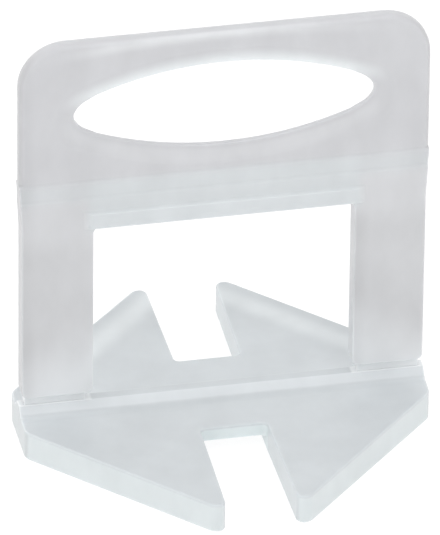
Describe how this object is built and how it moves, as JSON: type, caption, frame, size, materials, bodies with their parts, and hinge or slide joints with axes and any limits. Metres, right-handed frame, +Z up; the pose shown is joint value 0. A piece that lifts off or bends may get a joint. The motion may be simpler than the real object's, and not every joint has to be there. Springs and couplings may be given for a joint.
{
  "type": "tile levelling clip",
  "caption": "One-piece moulded tile levelling clip: a flat winged base that lies under the tiles and an upright break-off strap with a wedge window and an oval grip hole.",
  "frame": {"origin": "middle of the base's underside, below the strap", "axes": "+X along the strap and the joint between the tiles, +Y across the joint, +Z up along the strap"},
  "size_m": [0.039, 0.0386, 0.0429],
  "materials": {
    "clip_plastic": "satin, milky translucent"
  },
  "bodies": {
    "root": {"levelling_clip": "clip_plastic"}
  },
  "joints": []
}
